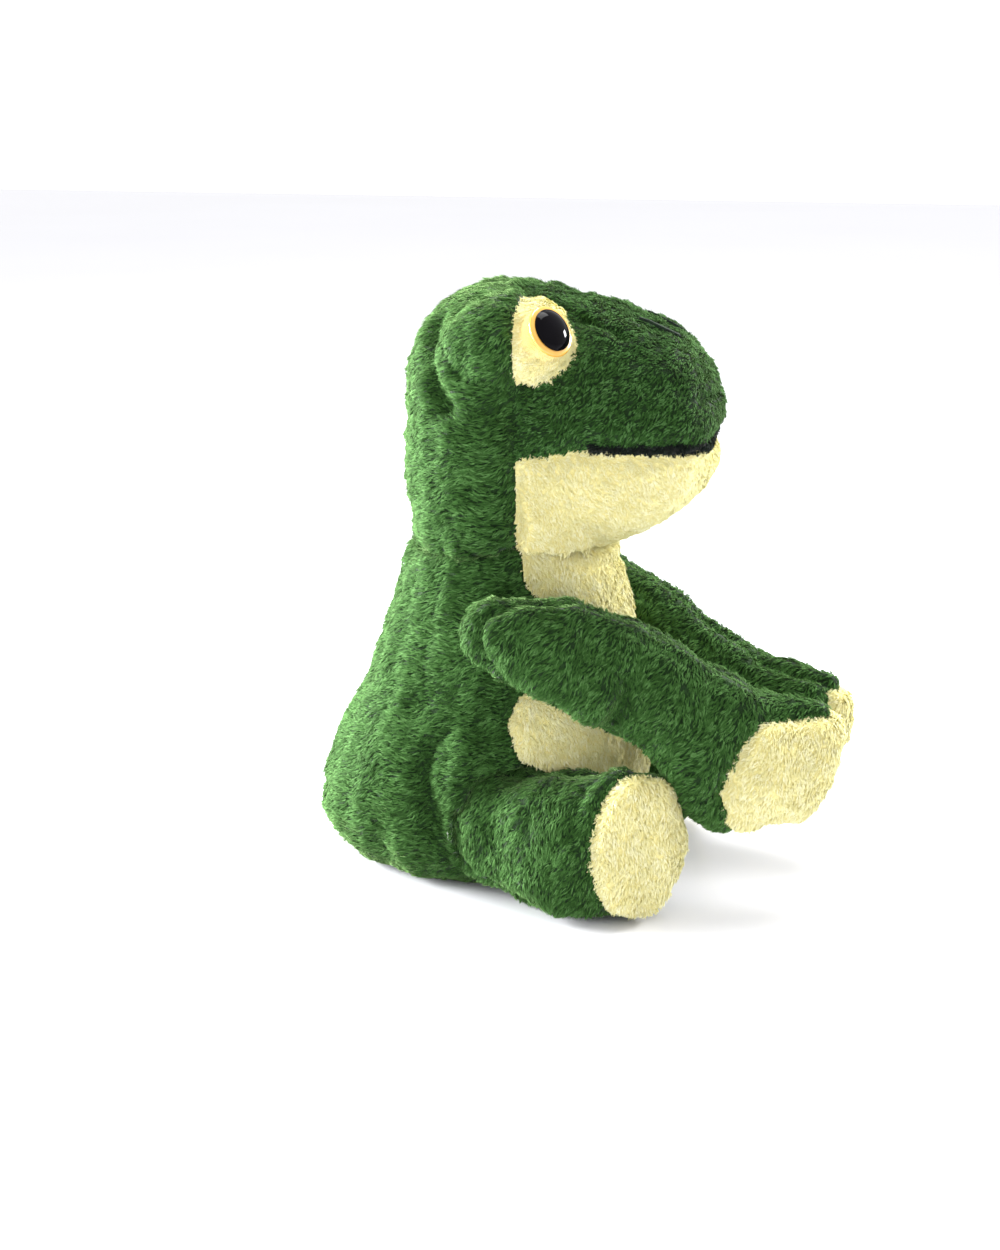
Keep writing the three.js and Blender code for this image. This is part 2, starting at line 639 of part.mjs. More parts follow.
// A limb's four pieces on both sides of the toy.
function addLimb(limb, name, padName) {
  for (const side of ['right', 'left']) {
    const place = side === 'right' ? (solid) => solid : mirrored;
    addPiece(`${name}_outer_${side}`, place(limb.outer), GREEN);
    addPiece(`${name}_inner_${side}`, place(limb.inner), GREEN);
    addPiece(`${padName}_${side}`, place(limb.pad), YELLOW);
    addPiece(`${name}_stuffing_${side}`, place(limb.stuffing), FIBRE_WHITE);
  }
}

buildHead();
const stitch = nostrilStitch();
addPiece('nostril_stitch_right', stitch, THREAD_GREEN);
addPiece('nostril_stitch_left', mirrored(stitch), THREAD_GREEN);
buildTorso();
addLimb(buildArm(), 'arm', 'paw_pad');
addLimb(buildLeg(), 'leg', 'sole_pad');

export default dinosaur;
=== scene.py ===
import math

import bpy
import numpy as np
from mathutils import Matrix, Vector
from mathutils.bvhtree import BVHTree
from mathutils.kdtree import KDTree


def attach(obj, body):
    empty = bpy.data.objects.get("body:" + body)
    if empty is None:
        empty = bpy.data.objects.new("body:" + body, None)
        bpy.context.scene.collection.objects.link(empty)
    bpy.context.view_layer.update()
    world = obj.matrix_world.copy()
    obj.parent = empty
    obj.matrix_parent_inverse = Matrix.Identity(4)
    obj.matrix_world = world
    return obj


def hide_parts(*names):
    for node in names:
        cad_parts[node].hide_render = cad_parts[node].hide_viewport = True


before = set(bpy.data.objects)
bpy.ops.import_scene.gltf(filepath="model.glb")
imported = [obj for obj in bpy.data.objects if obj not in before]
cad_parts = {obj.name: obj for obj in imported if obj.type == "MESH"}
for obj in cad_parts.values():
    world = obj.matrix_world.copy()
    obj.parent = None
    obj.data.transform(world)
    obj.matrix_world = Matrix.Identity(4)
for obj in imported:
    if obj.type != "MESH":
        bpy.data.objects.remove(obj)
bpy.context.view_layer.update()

MM = 0.001
UP = np.array([0.0, 0.0, 1.0])
SHIFT = np.array([0.0, 2.34, 0.0])  # from the drawing about the hips to the row frame
random = np.random.default_rng(641)

# ---------------------------------------------------------------- sizes, in mm
VOXEL = 1.5
FATTEN = 0.35  # closes the gaps between neighbouring pieces
FORM_ROUNDS = 12  # of smoothing, on each sewn form
FLOOR_REST = 0.3  # the cloth lies this far above the floor
FILL_INSET = 2.6  # from the skin to the stuffing
FILL_LEAST = 1.2
FILL_ROUNDS = 25
SOCKET_PILE = 7.0  # how far the pile reaches into a socket
PAD_LAP = 4.0  # how far the green cloth laps over the top of each paw pad
SEAM_REACH = 3.0  # how far from a seam the pile is shorter
ROOT_DEPTH = 0.7  # each blade starts this far under the cloth
ROOT_LEAST = 0.6  # no pile grows nearer to the floor
TIP_LEAST = 0.15
MAX_BLADES = 60000  # in one piece
EYE_POINT = np.array([-44.0, 4.9, 226.0])
EYE_FACING = np.array([-0.47, -0.75, 0.47])
LEFT_EYE_DROP = np.array([-1.0, 3.0, -4.0])  # the left eye is sewn on a little lower
EYE_RADIUS = 10.0
EYE_RIM = 1.6
EYE_CROWN = 0.5
PUPIL_RADIUS = 8.2
PUPIL_BASE = 2.3
PUPIL_CURVE = 3.5
PUPIL_TOP = 4.6

# ---------------------------------------------------------------- the room, in metres
WHITE = 1.15  # brightness of the backdrop
FLOOR_HALF = 4.0
LIGHTS = {
    "key_light": dict(place=(0.00, 1.30, 0.34), at=(0, 0.03, 0.12), size=0.6, power=84),
    "top_light": dict(place=(0.30, -0.10, 1.30), at=(0, 0, 0.12), size=0.7, power=18),
    "rim_light": dict(place=(0.70, -0.85, 0.45), at=(0, 0, 0.15), size=0.2, power=13),
}
CAMERA_PLACE = (-0.785, -0.15066, 0.325)
CAMERA_AT = (0, 0.03634, 0.100)
LENS = 59
SENSOR = 36


def unit(v):
    v = np.asarray(v, float)
    return v / np.maximum(np.linalg.norm(v, axis=-1, keepdims=True), 1e-9)


# ---------------------------------------------------------------- shader help
def new_material(name, roughness, specular):
    material = bpy.data.materials.new(name)
    material.use_nodes = True
    shader = material.node_tree.nodes["Principled BSDF"]
    shader.inputs["Roughness"].default_value = roughness
    shader.inputs["Specular IOR Level"].default_value = specular
    return material, shader


def mottle(material, shader, scale, dark, light, detail=2.0, low=0.0, high=1.0):
    """Colours the material with soft noise; returns the node that places it."""
    nodes, links = material.node_tree.nodes, material.node_tree.links
    place = nodes.new("ShaderNodeTexCoord")
    noise = nodes.new("ShaderNodeTexNoise")
    noise.inputs["Scale"].default_value = scale
    noise.inputs["Detail"].default_value = detail
    ramp = nodes.new("ShaderNodeValToRGB")
    ramp.color_ramp.elements[0].position = low
    ramp.color_ramp.elements[1].position = high
    ramp.color_ramp.elements[0].color = (*dark, 1)
    ramp.color_ramp.elements[1].color = (*light, 1)
    links.new(place.outputs["Object"], noise.inputs["Vector"])
    links.new(noise.outputs["Fac"], ramp.inputs["Fac"])
    links.new(ramp.outputs["Color"], shader.inputs["Base Color"])
    return place


def strand_material(name, colour, sheen):
    """A plain finish for one shade of pile."""
    material, shader = new_material(name, 0.75, 0.08)
    shader.inputs["Base Color"].default_value = (*colour, 1)
    shader.inputs["Sheen Weight"].default_value = sheen
    shader.inputs["Sheen Roughness"].default_value = 0.35
    shader.inputs["Sheen Tint"].default_value = (0.62, 1.0, 0.38, 1)
    return material


def cloth_material(name, dark, light, scale, depth=0.5):
    """Knitted backing seen between the tufts: mottled colour and a fine bump."""
    material, shader = new_material(name, 0.9, 0.1)
    shader.inputs["Sheen Weight"].default_value = 0.2
    place = mottle(material, shader, scale, dark, light, detail=5, low=0.32, high=0.7)
    nodes, links = material.node_tree.nodes, material.node_tree.links
    weave = nodes.new("ShaderNodeTexVoronoi")
    weave.inputs["Scale"].default_value = scale * 6
    bump = nodes.new("ShaderNodeBump")
    bump.inputs["Strength"].default_value = depth
    bump.inputs["Distance"].default_value = 0.0006
    links.new(place.outputs["Object"], weave.inputs["Vector"])
    links.new(weave.outputs["Distance"], bump.inputs["Height"])
    links.new(bump.outputs["Normal"], shader.inputs["Normal"])
    return material


def eye_centre(side):
    return EYE_POINT if side > 0 else EYE_POINT * np.array([-1, 1, 1]) + LEFT_EYE_DROP


# ---------------------------------------------------------------- mesh help
def cad_mesh(node):
    """Welded vertices in mm and triangles of a CAD node."""
    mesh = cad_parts[node].data
    co = np.empty(len(mesh.vertices) * 3)
    mesh.vertices.foreach_get("co", co)
    mesh.calc_loop_triangles()
    tris = np.empty(len(mesh.loop_triangles) * 3, int)
    mesh.loop_triangles.foreach_get("vertices", tris)
    co = co.reshape(-1, 3) / MM - SHIFT
    _, index, inverse = np.unique(np.round(co, 3), axis=0, return_index=True, return_inverse=True)
    return co[index], inverse.reshape(-1)[tris].reshape(-1, 3)


def vertex_normals(co, tris):
    face = np.cross(co[tris[:, 1]] - co[tris[:, 0]], co[tris[:, 2]] - co[tris[:, 0]])
    total = np.zeros_like(co)
    for corner in range(3):
        for axis in range(3):
            total[:, axis] += np.bincount(tris[:, corner], face[:, axis], minlength=len(co))
    return unit(total)


def triangles_of(quads):
    return np.concatenate([quads[:, [0, 1, 2]], quads[:, [0, 2, 3]]])


def make_mesh(name, co, faces):
    """A mesh object from vertices in mm and an array of faces with equal corner counts."""
    mesh = bpy.data.meshes.new(name)
    corners = faces.shape[1]
    mesh.vertices.add(len(co))
    mesh.vertices.foreach_set("co", ((co + SHIFT) * MM).astype(np.float32).ravel())
    mesh.loops.add(len(faces) * corners)
    mesh.loops.foreach_set("vertex_index", faces.astype(np.int32).ravel())
    mesh.polygons.add(len(faces))
    mesh.polygons.foreach_set("loop_start", np.arange(len(faces), dtype=np.int32) * corners)
    mesh.polygons.foreach_set("use_smooth", np.full(len(faces), True))
    mesh.update(calc_edges=True)
    obj = bpy.data.objects.new(name, mesh)
    bpy.context.scene.collection.objects.link(obj)
    return obj


def largest_part(count, quads):
    """The faces of the largest connected part."""
    label = np.arange(count)
    while True:
        low = label[quads].min(axis=1)
        new = label.copy()
        np.minimum.at(new, quads.ravel(), np.repeat(low, 4))
        new = new[new]
        if (new == label).all():
            break
        label = new
    main = np.bincount(label[quads[:, 0]]).argmax()
    return quads[label[quads[:, 0]] == main]


def compact(co, faces):
    used, inverse = np.unique(faces, return_inverse=True)
    return co[used], inverse.reshape(faces.shape), used


def fused(nodes):
    """One closed surface round these CAD nodes, as even quads: vertices in mm and quads."""
    verts, faces, base = [], [], 0
    for node in nodes:
        co, tris = cad_mesh(node)
        verts.append(co + vertex_normals(co, tris) * FATTEN)
        faces.append(tris + base)
        base += len(co)
    obj = make_mesh("fusing", np.concatenate(verts), np.concatenate(faces))
    remesh = obj.modifiers.new("fuse", "REMESH")
    remesh.mode = "VOXEL"
    remesh.voxel_size = VOXEL * MM
    shown = obj.evaluated_get(bpy.context.evaluated_depsgraph_get())
    mesh = bpy.data.meshes.new_from_object(shown)
    co = np.empty(len(mesh.vertices) * 3)
    mesh.vertices.foreach_get("co", co)
    corners = np.empty(len(mesh.loops), int)
    mesh.loops.foreach_get("vertex_index", corners)
    quads = largest_part(len(mesh.vertices), corners.reshape(-1, 4))
    bpy.data.objects.remove(obj)
    bpy.data.meshes.remove(mesh)
    co, quads, _ = compact(co.reshape(-1, 3) / MM - SHIFT, quads)
    return co, quads


def edges_of(quads):
    pairs = np.concatenate([quads[:, [0, 1]], quads[:, [1, 2]], quads[:, [2, 3]], quads[:, [3, 0]]])
    return np.unique(np.sort(pairs, axis=1), axis=0)


def neighbour_mean(values, edges, degree):
    a, b = edges.T
    out = np.empty_like(values)
    for axis in range(values.shape[1]):
        total = np.bincount(a, values[b, axis], minlength=len(values))
        total += np.bincount(b, values[a, axis], minlength=len(values))
        out[:, axis] = total / degree
    return out


def smoothed(co, edges, rounds):
    """Takes the facets out without shrinking the form."""
    degree = np.maximum(np.bincount(edges.ravel(), minlength=len(co)), 1)
    for _ in range(rounds):
        for step in (0.55, -0.57):
            co = co + step * (neighbour_mean(co, edges, degree) - co)
    return co


def line_distance(co, line):
    """Distance of each vertex from a polyline."""
    line = np.asarray(line, float)
    best = np.full(len(co), 1e9)
    for a, b in zip(line[:-1], line[1:]):
        along = b - a
        t = np.clip((co - a) @ along / (along @ along), 0, 1)
        best = np.minimum(best, np.linalg.norm(co - a - t[:, None] * along, axis=1))
    return best


def wave(p, size, seed):
    """Smooth noise between about -1 and 1, with features of that size in mm."""
    draw = np.random.default_rng(seed)
    total = np.zeros(len(p))
    for _ in range(7):
        direction = unit(draw.normal(size=3)) * draw.uniform(0.7, 1.5) * 2 * math.pi / size
        total += np.sin(p @ direction + draw.uniform(0, 6.28))
    return total / 2.6


# ---------------------------------------------------------------- the panels
GREEN, SHORT, YELLOW, YARN = "green", "short", "yellow", "yarn"
COATS = {
    GREEN: dict(length=3.9, width=0.38, clumps=1.15, blades=5, rise=0.33, spread=0.62),
    SHORT: dict(length=2.2, width=0.36, clumps=1.50, blades=5, rise=0.52, spread=0.45),
    YELLOW: dict(length=2.2, width=0.36, clumps=1.60, blades=4, rise=0.42, spread=0.62),
    YARN: dict(length=1.9, width=0.45, clumps=1.6, blades=4, rise=0.9, spread=0.6),
}
# Each panel's material slot, its coat, the way its pile lies on the right side, and its share of the length.
PANELS = {
    "hood": ("green_plush", GREEN, (0, 1, -0.18), 1.0),
    "eye_mound": ("green_plush", GREEN, (0, 0.8, -0.5), 0.8),
    "eye_patch": ("yellow_plush", YELLOW, (-0.2, 0.5, -0.8), 0.8),
    "snout_panel": ("short_green_plush", SHORT, (0, 0.75, -0.65), 1.0),
    "jaw_panel": ("yellow_plush", YELLOW, (0, -0.5, -0.85), 0.85),
    "mouth_yarn": ("mouth_yarn", YARN, (0, 0, -1), 1.0),
    "body_side": ("green_plush", GREEN, (0, 1, -0.2), 1.0),
    "belly_panel": ("yellow_plush", YELLOW, (0, -0.3, -1), 1.1),
    "seat_panel": ("green_plush", GREEN, (0, 1, 0), 0.7),
    "arm_outer": ("green_plush", GREEN, (0, 0.55, -0.83), 0.85),
    "arm_inner": ("green_plush", GREEN, (0, 0.55, -0.83), 0.85),
    "paw_pad": ("yellow_plush", YELLOW, (0, 0.2, -1), 1.2),
    "leg_outer": ("green_plush", GREEN, (0, 0.3, -0.95), 0.85),
    "leg_inner": ("green_plush", GREEN, (0, 0.3, -0.95), 0.85),
    "sole_pad": ("yellow_plush", YELLOW, (0, 0.1, -1), 1.2),
}
BODIES = {
    "head": (
        ["hood_right", "hood_left", "eye_mound_right", "eye_mound_left", "eye_patch_right", "eye_patch_left",
         "snout_panel", "jaw_panel", "mouth_yarn"],
        "head_stuffing",
    ),
    "torso": (["body_side_right", "body_side_left", "belly_panel", "seat_panel"], "body_stuffing"),
    "arm_right": (["arm_outer_right", "arm_inner_right", "paw_pad_right"], "arm_stuffing_right"),
    "arm_left": (["arm_outer_left", "arm_inner_left", "paw_pad_left"], "arm_stuffing_left"),
    "leg_right": (["leg_outer_right", "leg_inner_right", "sole_pad_right"], "leg_stuffing_right"),
    "leg_left": (["leg_outer_left", "leg_inner_left", "sole_pad_left"], "leg_stuffing_left"),
}

SHADES = {
    GREEN: [(0.025, 0.072, 0.014), (0.037, 0.103, 0.021), (0.054, 0.142, 0.032), (0.088, 0.202, 0.056)],
    SHORT: [(0.023, 0.068, 0.013), (0.035, 0.100, 0.021), (0.052, 0.140, 0.032), (0.088, 0.205, 0.060)],
    YELLOW: [(0.82, 0.76, 0.35), (0.87, 0.82, 0.42), (0.89, 0.85, 0.48), (0.93, 0.90, 0.59)],
    YARN: [(0.006, 0.010, 0.008), (0.010, 0.016, 0.012), (0.018, 0.026, 0.020), (0.035, 0.045, 0.036)],
}
# the colour of the blades' lower parts, darker than the coat's own shades: painted shade at the foot of the
# pile
SHADED_ROOTS = {
    GREEN: (0.008, 0.026, 0.005),
    SHORT: (0.007, 0.023, 0.004),
    YELLOW: (0.79, 0.71, 0.29),
    YARN: (0.004, 0.006, 0.005),
}
SHEENS = {GREEN: 0.55, SHORT: 0.40, YELLOW: 0.15, YARN: 0.05}
strands = {}
for coat, shades in SHADES.items():
    colours = [SHADED_ROOTS[coat], *shades]
    strands[coat] = [strand_material(f"{coat}_strand_{i}", c, SHEENS[coat]) for i, c in enumerate(colours)]
# each backing cloth is coloured darker than its pile, standing for the shade in the gaps between the tufts:
# painted shade
shaded_backings = {
    GREEN: cloth_material("green_backing", (0.006, 0.022, 0.004), (0.016, 0.050, 0.010), 260),
    SHORT: cloth_material("short_green_backing", (0.006, 0.020, 0.004), (0.014, 0.044, 0.009), 320),
    YELLOW: cloth_material("yellow_backing", (0.80, 0.71, 0.29), (0.88, 0.81, 0.38), 300),
    YARN: cloth_material("yarn_backing", (0.003, 0.004, 0.003), (0.012, 0.016, 0.012), 500),
}
fibre = cloth_material("fibre_filling", (0.74, 0.73, 0.70), (0.92, 0.91, 0.88), 120, 0.9)
bag_cloth = cloth_material("bag_cotton", (0.60, 0.57, 0.50), (0.78, 0.75, 0.68), 500, 0.6)
washer_plastic = cloth_material("washer_nylon", (0.70, 0.70, 0.68), (0.80, 0.80, 0.78), 60, 0.1)
thread = cloth_material("nostril_thread", (0.004, 0.014, 0.005), (0.015, 0.045, 0.016), 900, 0.8)


def panel_of(node):
    side = 0
    name = node
    for ending, sign in (("_right", 1), ("_left", -1)):
        if node.endswith(ending):
            name, side = node[: -len(ending)], sign
    return PANELS[name], side


# ---------------------------------------------------------------- the sewn forms
class Form:
    """The closed outer surface of one body, with each face given to its panel."""

    def __init__(self, body):
        self.body = body
        self.panels, self.stuffing = BODIES[body]
        co, self.quads = fused([*self.panels, self.stuffing])
        self.edges = edges_of(self.quads)
        self.co = smoothed(co, self.edges, FORM_ROUNDS)
        self.label = self.nearest_panels()
        self.lap_pad()
        self.tris = triangles_of(self.quads)
        self.tri_label = np.concatenate([self.label, self.label])
        self.tri_bare = np.concatenate([self.bare, self.bare])
        self.crease = np.zeros(len(self.co))
        self.find_seams()

    def nearest_panels(self):
        centres = self.co[self.quads].mean(axis=1)
        points = [Vector(c) for c in centres]
        best = np.full(len(centres), 1e9)
        label = np.zeros(len(centres), int)
        for i, name in enumerate(self.panels):
            co, tris = cad_mesh(name)
            tree = BVHTree.FromPolygons(co.tolist(), tris.tolist())
            found = np.array([tree.find_nearest(p)[3] for p in points])
            closer = found < best
            best[closer] = found[closer]
            label[closer] = i
        self.bare = best > SOCKET_PILE
        return label

    def lap_pad(self):
        """Laps the outer arm panel, the first of its body, over the top of the paw pad."""
        for i, name in enumerate(self.panels):
            if name.startswith("paw_pad"):
                height = self.co[self.quads, 2].mean(axis=1)
                pad = self.label == i
                self.label[pad & (height > height[pad].max() - PAD_LAP)] = 0

    def find_seams(self):
        """Distance of each vertex from the nearest seam between two panels."""
        # the join of an eye lobe and its hood is a fold, pressed in later
        sewn = [name.replace("eye_mound", "hood") for name in self.panels]
        cloth = np.array([sewn.index(name) for name in sewn])[self.label]
        low = np.full(len(self.co), len(self.panels))
        high = np.full(len(self.co), -1)
        np.minimum.at(low, self.quads.ravel(), np.repeat(cloth, 4))
        np.maximum.at(high, self.quads.ravel(), np.repeat(cloth, 4))
        on_seam = np.flatnonzero(low != high)
        self.seam = np.empty(len(self.co))
        self.seam_way = np.empty_like(self.co)
        tree = KDTree(len(on_seam))
        for i, v in enumerate(on_seam):
            tree.insert(self.co[v], i)
        tree.balance()
        for i, p in enumerate(self.co):
            at, _, distance = tree.find(p)
            self.seam[i] = distance
            self.seam_way[i] = np.array(at) - p

    def normals(self):
        return vertex_normals(self.co, self.tris)

    def press(self, line, width, depth, mirror=True):
        """Presses a soft crease into the form along a line; a negative depth raises a ridge. The crease is
        also recorded: the pile there is shortened and given a darker tone, a painted shade.
        """
        lines = [np.asarray(line, float)]
        if mirror:
            lines.append(lines[0] * np.array([-1, 1, 1]))
        normals = self.normals()
        for each in lines:
            near = np.exp(-((line_distance(self.co, each) / width) ** 2))
            if depth > 0:
                self.crease = np.maximum(self.crease, near)
            self.co = self.co - normals * (near * depth)[:, None]

    def sew(self, width, depth):
        """Draws the form in along its seams."""
        amount = depth * np.exp(-((self.seam / width) ** 2))
        self.co = self.co - self.normals() * amount[:, None]

    def crumple(self, size, depth, seed):
        self.co = self.co + self.normals() * (wave(self.co, size, seed) * depth)[:, None]


def grow_pile(form, index):
    """Tufts over one panel: each clump is a few tapered blades that lean together."""
    node = form.panels[index]
    (slot, coat, direction, share), side = panel_of(node)
    spec = COATS[coat]
    tris = form.tris[(form.tri_label == index) & ~form.tri_bare]
    a, b, c = (form.co[tris[:, k]] for k in range(3))
    area = np.linalg.norm(np.cross(b - a, c - a), axis=1) / 2
    count = int(area.sum() * spec["clumps"])
    pick = random.choice(len(tris), size=count, p=area / area.sum())
    r1 = np.sqrt(random.random(count))
    r2 = random.random(count)
    weights = np.stack([1 - r1, r1 * (1 - r2), r1 * r2], axis=1)
    corners = tris[pick]
    roots = (form.co[corners] * weights[:, :, None]).sum(axis=1)
    normal = unit((form.normals()[corners] * weights[:, :, None]).sum(axis=1))
    seam = (form.seam[corners] * weights).sum(axis=1)
    outward = (form.seam_way[corners] * weights[:, :, None]).sum(axis=1)
    crease = (form.crease[corners] * weights).sum(axis=1)

    keep = roots[:, 2] > ROOT_LEAST
    if form.body == "head":
        for mirror in (1, -1):
            keep &= np.linalg.norm(roots - eye_centre(mirror), axis=1) > EYE_RADIUS + 0.2
    roots, normal, seam, outward, crease = roots[keep], normal[keep], seam[keep], outward[keep], crease[keep]
    count = len(roots)

    way = np.tile(np.array(direction, float) * np.array([side or 1, 1, 1]), (count, 1))
    near_seam = np.exp(-((seam / SEAM_REACH) ** 2))
    if coat == YELLOW:
        way = way + unit(outward) * (1.3 * near_seam)[:, None]
    if coat == YARN:
        way = way + random.normal(size=(count, 3)) * 2
    way = unit(way - normal * (way * normal).sum(axis=1, keepdims=True))
    across = np.cross(normal, way)
    turn = 0.30 * wave(roots, 26, 3) + 0.22 * wave(roots, 9, 4) + 0.20 * random.normal(size=count)
    way = way * np.cos(turn)[:, None] + across * np.sin(turn)[:, None]
    across = np.cross(normal, way)

    length = spec["length"] * share * (1 + 0.14 * wave(roots, 7, 5) + 0.10 * random.normal(size=count))
    length = np.clip(length, 0.8, None) * (1 - 0.25 * near_seam) * (1 - 0.45 * crease)
    rise = spec["rise"] * (1 + 0.35 * wave(roots, 5, 6) + 0.15 * random.normal(size=count))
    rise = np.clip(rise, 0.12, 0.95)
    # the tone varies at random over the coat, and drops with the crease depth: painted shade in the creases
    shade = 1.4 + 0.40 * wave(roots, 13, 7) + 0.65 * wave(roots, 4, 8) + random.normal(size=count) - crease

    blades = spec["blades"]
    total = count * blades
    n, t, s, length, rise, shade, roots = (
        np.repeat(v, blades, axis=0) for v in (normal, way, across, length, rise, shade, roots)
    )
    off_t = random.normal(size=(total, 1)) * spec["spread"] * 0.75
    off_s = random.normal(size=(total, 1)) * spec["spread"] * 0.5
    root = roots + t * off_t + s * off_s
    size = length[:, None] * random.uniform(0.75, 1.1, size=(total, 1))
    lift = rise[:, None] * random.uniform(0.8, 1.15, size=(total, 1))
    middle = root + size * (lift * 0.62 * n + 0.36 * t) - s * off_s * 0.3
    tip = root + size * (lift * 0.80 * n + (1.05 - 0.45 * lift) * t) - s * off_s * 0.85
    root = root - n * ROOT_DEPTH
    roll = random.normal(size=(total, 1)) * 0.45
    breadth = spec["width"] * random.uniform(0.75, 1.2, size=(total, 1))
    wide = (s * np.cos(roll) + n * np.sin(roll)) * breadth / 2
    lean = unit(np.cross(wide, tip - root))
    away = (lean * n).sum(axis=1, keepdims=True) < 0
    lean, wide = np.where(away, -lean, lean), np.where(away, -wide, wide)
    facing = unit(0.55 * n + 0.45 * lean)
    edge = unit(wide) * 0.65

    verts = np.stack([root - wide, root + wide, middle - wide * 0.85, middle + wide * 0.85, tip], axis=1)
    tints = np.stack([facing - edge, facing + edge, facing - edge, facing + edge, facing + t * 0.25], axis=1)
    verts[:, :, 2] = np.maximum(verts[:, :, 2], TIP_LEAST)
    tone = np.clip(np.round(shade + 0.35 * random.normal(size=total)), 0, 3).astype(np.int32) + 1
    # the lower part of each blade is darker than its tip, the root colour on a quarter of them and one tone
    # down on the rest: painted shade at the foot of the pile
    low = np.where(random.random(total) < 0.25, 0, np.maximum(tone - 1, 1)).astype(np.int32)
    for part, begin in enumerate(range(0, total, MAX_BLADES)):
        chosen = slice(begin, begin + MAX_BLADES)
        name = f"{node}_pile" + (f"_{part + 1}" if total > MAX_BLADES else "")
        obj = make_blades(name, verts[chosen], tints[chosen], low[chosen], tone[chosen], strands[coat])
        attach(obj, form.body)


def make_blades(name, verts, tints, low, tone, materials):
    """One piece of pile: five points to a blade, with normals that round it off."""
    first = np.arange(len(verts))[:, None] * 5
    faces = np.concatenate([first + [0, 1, 3], first + [0, 3, 2], first + [2, 3, 4]])
    obj = make_mesh(name, verts.reshape(-1, 3), faces)
    obj.data.normals_split_custom_set_from_vertices(unit(tints.reshape(-1, 3)).astype(np.float32))
    for material in materials:
        obj.data.materials.append(material)
    # the two lower faces of a blade take its darker colour, a painted shade; the tip takes its own tone
    obj.data.polygons.foreach_set("material_index", np.concatenate([low, low, tone]))
    obj.data.update()
    return obj


def cut_panel(form, index):
    """The backing cloth of one panel, standing for its CAD node."""
    node = form.panels[index]
    slot, coat = panel_of(node)[0][:2]
    co, faces, _ = compact(form.co, form.quads[form.label == index])
    obj = make_mesh(node + "_cloth", co, faces)
    obj.data.materials.append(shaded_backings[coat])
    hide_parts(node)
    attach(obj, form.body)
    return obj


def stuff(form):
    """The stuffing, following the shape of its skin from inside."""
    co = form.co - form.normals() * FILL_INSET
    degree = np.maximum(np.bincount(form.edges.ravel(), minlength=len(co)), 1)
    for _ in range(FILL_ROUNDS):
        co = co + 0.5 * (neighbour_mean(co, form.edges, degree) - co)
    skin = BVHTree.FromPolygons(form.co.tolist(), form.quads.tolist())
    for _ in range(2):
        for i, p in enumerate(co):
            at, normal, _, distance = skin.find_nearest(Vector(p))
            if distance < FILL_LEAST or (Vector(p) - at).dot(normal) > 0:
                co[i] = np.array(at - normal * FILL_LEAST * 1.3)
    obj = make_mesh(form.stuffing + "_fill", co, form.quads)
    obj.data.materials.append(fibre)
    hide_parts(form.stuffing)
    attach(obj, form.body)
    return obj


def raise_collar(form):
    """Lifts the join of head and neck a little at each side."""
    y, z = form.co[:, 1], form.co[:, 2]
    form.co[:, 2] += 4.5 * np.exp(-(((y - 18) / 24) ** 2) - ((z - 138) / 22) ** 2)


def shape_head(head):
    head.sew(width=3.0, depth=2.2)
    # the slits drawn in over the nose, and the folds behind them
    head.press([(-10, -23, 227), (-9, -31, 224), (-7, -38, 220)], width=2.0, depth=4.2)
    head.press([(-21, -3, 230), (-23, -11, 226), (-25, -20, 223)], width=2.2, depth=3.4)
    # the short seam across the front of the nose
    head.press([(-22, -50, 200), (0, -54, 199)], width=2.0, depth=2.4)
    # the seam where the hood meets the face
    head.press([(-43, 18, 199), (-43, 18, 181), (-43, 18, 162), (-42, 17, 147)], width=1.8, depth=2.4)
    # the fold between each eye lobe and the back of the head
    fold = [(-22, 51, 238), (-24, 53, 231), (-29, 53, 222), (-38, 50, 205), (-41, 45, 196)]
    head.press(fold, width=4.2, depth=3.6)
    head.press([(-42, 42, 195), (-44, 34, 194), (-44, 24, 197)], width=4.2, depth=1.2)
    head.press([(-38, 34, 226), (-42, 34, 212)], width=12, depth=-1.6)
    # the head's lower edge stands over the neck
    head.press([(-30, 64, 143), (-41, 50, 142), (-44, 36, 143), (-44, 22, 144)], width=5.0, depth=-1.2)
    left = EYE_POINT * np.array([-1, 1, 1]) - np.array([10, -6, 0])
    near = np.exp(-((np.linalg.norm(head.co - left, axis=1) / 24) ** 4))
    head.co = head.co + near[:, None] * LEFT_EYE_DROP
    raise_collar(head)
    head.crumple(size=30, depth=0.7, seed=21)
    head.crumple(size=11, depth=0.3, seed=22)


def shape_torso(torso):
    torso.sew(width=3.0, depth=1.4)
    # the neck's crease, under the head
    nape = [(-20, 68, 135), (-38, 58, 135), (-43, 44, 136), (-43, 30, 137), (-42, 14, 138)]
    torso.press(nape, width=4.0, depth=2.6)
    torso.press([(-37, 2, 139), (-30, -6, 134), (-16, -14, 131), (0, -17, 130)], width=2.4, depth=1.6)
    # the fold round the back of each thigh, and the swell in front of it
    thigh = [(-43, 40, 70), (-47, 51, 60), (-49, 53, 50), (-50, 51, 40), (-50, 49, 30)]
    torso.press(thigh, width=3.6, depth=4.2)
    torso.press([(-50, 49, 30), (-49, 46, 18), (-45, 40, 7)], width=3.6, depth=2.4)
    torso.press([(-47, 34, 62), (-52, 39, 48), (-52, 38, 32), (-49, 33, 18)], width=6.5, depth=-3.6)
    # the folds that run back from the arm
    torso.press([(-44, 40, 84), (-46, 52, 80), (-45, 60, 79)], width=4.0, depth=1.6)
    raise_collar(torso)
    torso.crumple(size=34, depth=0.9, seed=31)
    torso.crumple(size=12, depth=0.32, seed=32)


